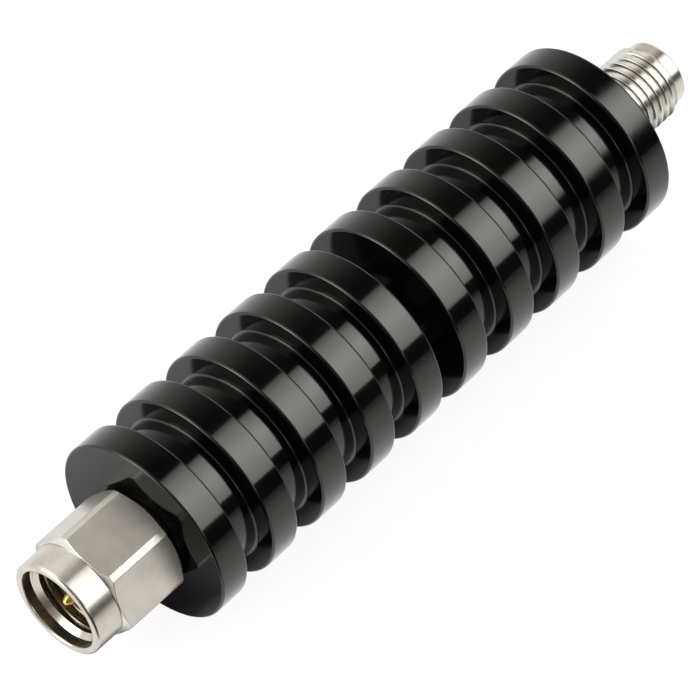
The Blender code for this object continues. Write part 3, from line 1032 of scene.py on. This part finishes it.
# the paper's glow in reflections, painted light by its distance in millimetres from the part's middle line,
# with a painted shadow under the part and a painted dark corner
floor = {
    "size": 4.0,
    "tones": [(0.4, "#DEDEDC"), (0.6, "#E6E6E4")],
    "fibreSize": 1.1,
    "cameraShare": 0.7,
    "cameraGlow": 0.86,
    "reach": 150,
    "mirror": [
        (-150, 0.4),
        (-90, 0.6),
        (-40, 1.0),
        (-20, 1.15),
        (-8, 1.15),
        (8, 1.2),
        (22, 1.2),
        (60, 1.1),
        (150, 0.95),
    ],
    # painted shadow under the part, seen only in reflections
    "shade": [
        (-6.4, 1.0),
        (-4.8, 0.48),
        (-3.3, 0.04),
        (2.5, 0.05),
        (5.5, 0.26),
        (8, 0.45),
        (12, 0.68),
        (17, 0.96),
    ],
    "shadeEnds": (34.5, 31.5),
    "underNut": {"x": (25, 29), "tone": (0.02, 0.19)},
    "darkCorner": {"x": (-30, -34), "y": (-8, -12), "tone": 0.05},
}


def makeSoftBox():
    # 4 x area turns a panel's brightness into the lamp's power
    data = bpy.data.lights.new("softBox", "AREA")
    data.shape = "RECTANGLE"
    data.size, data.size_y = softBox["width"], softBox["length"]
    data.energy = softBox["strength"] * 4 * data.size * data.size_y
    data.use_nodes = True
    tree = data.node_tree
    where = addNode(tree, "ShaderNodeNewGeometry")
    parts = addNode(tree, "ShaderNodeSeparateXYZ", {}, {0: where.outputs["Parametric"]})
    cloth = addNode(tree, "ShaderNodeValToRGB", {"stops": softBox["cloth"]}, {"Fac": parts.outputs["Y"]})
    tree.links.new(cloth.outputs["Color"], tree.nodes["Emission"].inputs["Strength"])
    lamp = bpy.data.objects.new("softBox", data)
    back = Vector(softBox["direction"]).normalized()
    along = Vector((1, 0, 0)).cross(back).normalized()
    across = along.cross(back)
    turned = Matrix((across, along, back)).transposed().to_4x4()
    lamp.matrix_world = Matrix.Translation(back * softBox["distance"]) @ turned
    bpy.context.scene.collection.objects.link(lamp)


def makeWalls():
    world = bpy.data.worlds.new("studioWalls")
    bpy.context.scene.world = world
    world.use_nodes = True
    tree = world.node_tree
    where = addNode(tree, "ShaderNodeTexCoord")
    parts = addNode(tree, "ShaderNodeSeparateXYZ", {}, {0: where.outputs["Generated"]})
    x, y, z = (parts.outputs[key] for key in "XYZ")
    down = addNode(tree, "ShaderNodeMath", {"operation": "MULTIPLY", 1: -1.0}, {0: y})
    angle = addNode(tree, "ShaderNodeMath", {"operation": "ARCTAN2"}, {0: down, 1: z})
    turn = {"From Min": -math.pi, "From Max": math.pi}
    share = addNode(tree, "ShaderNodeMapRange", turn, {"Value": angle})
    gap, sides = (
        addNode(
            tree,
            "ShaderNodeValToRGB",
            {"stops": [(0.5 + degrees / 360, tone) for degrees, tone in walls[key]]},
            {"Fac": share},
        )
        for key in ("gap", "sides")
    )
    off = addNode(tree, "ShaderNodeMath", {"operation": "SUBTRACT", 1: walls["gapPlace"]}, {0: x})
    offGap = addNode(tree, "ShaderNodeMath", {"operation": "ABSOLUTE"}, {0: off})
    near, far = walls["gapHalf"]
    onSides = addNode(tree, "ShaderNodeMapRange", {"From Min": near, "From Max": far}, {"Value": offGap})
    room = addNode(tree, "ShaderNodeMix", {"data_type": "RGBA"}, {0: onSides, 6: gap, 7: sides})

    # the jack's end is plain white
    end = walls["jackEnd"]
    fadeIn = {"From Min": end["from"], "From Max": end["full"]}
    atEnd = addNode(tree, "ShaderNodeMapRange", fadeIn, {"Value": x})
    white = {"data_type": "RGBA", 7: (end["tone"], end["tone"], end["tone"], 1)}
    room = addNode(tree, "ShaderNodeMix", white, {0: atEnd, 6: room.outputs[2]})

    # past the plug's end the photographer's side and the ceiling are dark, and on the far side a bright
    # window stands over a lit sill
    slant = {"operation": "MULTIPLY_ADD", 1: walls["slant"]}
    aside = addNode(tree, "ShaderNodeMath", slant, {0: z, 2: y})
    for key in ("darkCorner", "window", "sill"):
        panel = walls[key]
        (x0, x1), (side0, side1), tone = panel["x"], panel["side"], panel["tone"]
        cover = addNode(tree, "ShaderNodeMapRange", {"From Min": x0, "From Max": x1}, {"Value": x})
        bySide = addNode(tree, "ShaderNodeMapRange", {"From Min": side0, "From Max": side1}, {"Value": aside})
        cover = addNode(tree, "ShaderNodeMath", {"operation": "MULTIPLY"}, {0: cover, 1: bySide})
        if "z" in panel:
            middle, half, edge = panel["z"]
            high = addNode(tree, "ShaderNodeMath", {"operation": "SUBTRACT", 1: middle}, {0: z})
            offLevel = addNode(tree, "ShaderNodeMath", {"operation": "ABSOLUTE"}, {0: high})
            within = {"From Min": edge, "From Max": half}
            byZ = addNode(tree, "ShaderNodeMapRange", within, {"Value": offLevel})
            cover = addNode(tree, "ShaderNodeMath", {"operation": "MULTIPLY"}, {0: cover, 1: byZ})
        flat = {"data_type": "RGBA", 7: (tone, tone, tone, 1)}
        room = addNode(tree, "ShaderNodeMix", flat, {0: cover, 6: room.outputs[2]})

    # the camera sees plain white
    rays = addNode(tree, "ShaderNodeLightPath")
    plain = {"data_type": "RGBA", 7: (1, 1, 1, 1)}
    seen = addNode(tree, "ShaderNodeMix", plain, {0: rays.outputs["Is Camera Ray"], 6: room.outputs[2]})
    tree.links.new(seen.outputs[2], tree.nodes["Background"].inputs["Color"])


def makeFloor():
    bpy.ops.object.select_all(action="DESELECT")
    bpy.ops.mesh.primitive_plane_add(size=floor["size"], location=(0, 0, 0))
    sheet = bpy.context.object
    sheet.name = sheet.data.name = "paperFloor"
    material, tree = startMaterial("whitePaper")
    where = addNode(tree, "ShaderNodeTexCoord")
    toMillimetres = {"Scale": (1 / mm, 1 / mm, 1 / mm)}
    place = addNode(tree, "ShaderNodeMapping", toMillimetres, {"Vector": where.outputs["Object"]})
    fibres = addNode(
        tree, "ShaderNodeTexNoise", {"Scale": 1 / floor["fibreSize"], "Detail": 4.0}, {"Vector": place}
    )
    paper = addNode(tree, "ShaderNodeValToRGB", {"stops": floor["tones"]}, {"Fac": fibres})

    # most of what the camera sees is plain white, and the rest is paper that keeps the shadow
    rays = addNode(tree, "ShaderNodeLightPath")
    direct, glossy, clear = (rays.outputs[f"Is {key} Ray"] for key in ("Camera", "Glossy", "Transmission"))
    mirrored = addNode(tree, "ShaderNodeMath", {"operation": "MAXIMUM"}, {0: glossy, 1: clear})
    toWhite = {"operation": "MULTIPLY_ADD", 1: floor["cameraShare"]}
    hidden = addNode(tree, "ShaderNodeMath", toWhite, {0: direct, 2: mirrored})
    dimmed = addNode(tree, "ShaderNodeMix", {"data_type": "RGBA", 7: (0, 0, 0, 1)}, {0: hidden, 6: paper})

    # in reflections the paper glows with painted light: white round the part, with a painted shadow under it,
    # and fading towards the photographer
    parts = addNode(tree, "ShaderNodeSeparateXYZ", {}, {0: place})
    x, y = parts.outputs["X"], parts.outputs["Y"]
    reach = floor["reach"]
    byY = addNode(tree, "ShaderNodeMapRange", {"From Min": -reach, "From Max": reach}, {"Value": y})
    reflectedGlow, shade = (
        addNode(
            tree,
            "ShaderNodeValToRGB",
            {"stops": [(0.5 + 0.5 * distance / reach, tone) for distance, tone in floor[key]]},
            {"Fac": byY},
        )
        for key in ("mirror", "shade")
    )
    out = addNode(tree, "ShaderNodeMath", {"operation": "ABSOLUTE"}, {0: x})
    far, near = floor["shadeEnds"]
    under = addNode(tree, "ShaderNodeMapRange", {"From Min": far, "From Max": near}, {"Value": out})
    # painted shadow: darker under the body than under the nut
    (x0, x1), (dark, light) = floor["underNut"]["x"], floor["underNut"]["tone"]
    lift = {"From Min": x0, "From Max": x1, "To Min": dark, "To Max": light}
    lifted = addNode(tree, "ShaderNodeMapRange", lift, {"Value": out})
    shade = addNode(tree, "ShaderNodeMath", {"operation": "MAXIMUM"}, {0: shade, 1: lifted})
    shaded = addNode(tree, "ShaderNodeMix", {"data_type": "RGBA", 6: (1, 1, 1, 1)}, {0: under, 7: shade})
    # painted shade: a dark patch in reflections past the plug's end, on the photographer's side
    corner = floor["darkCorner"]
    past, inFront = (
        addNode(tree, "ShaderNodeMapRange", {"From Min": starts, "From Max": full}, {"Value": value})
        for (starts, full), value in ((corner["x"], x), (corner["y"], y))
    )
    cover = addNode(tree, "ShaderNodeMath", {"operation": "MULTIPLY"}, {0: past, 1: inFront})
    dim = {"data_type": "RGBA", 7: (corner["tone"], corner["tone"], corner["tone"], 1)}
    cornered = addNode(tree, "ShaderNodeMix", dim, {0: cover, 6: shaded.outputs[2]})
    glow = addNode(tree, "ShaderNodeMath", {"operation": "MULTIPLY"}, {0: reflectedGlow, 1: cornered.outputs[2]})
    inMirror = addNode(tree, "ShaderNodeMath", {"operation": "MULTIPLY"}, {0: glow, 1: mirrored})
    toGlow = {"operation": "MULTIPLY_ADD", 1: floor["cameraGlow"]}
    lit = addNode(tree, "ShaderNodeMath", toGlow, {0: direct, 2: inMirror})
    look = {"Roughness": 0.9, "Specular IOR Level": 0.0, "Emission Color": (1, 1, 1, 1)}
    closeMaterial(tree, look, {"Base Color": dimmed.outputs[2], "Emission Strength": lit})
    sheet.data.materials.append(material)


makeSoftBox()
makeWalls()
makeFloor()
bpy.context.scene.view_settings.view_transform = "Standard"
print("studio lit")
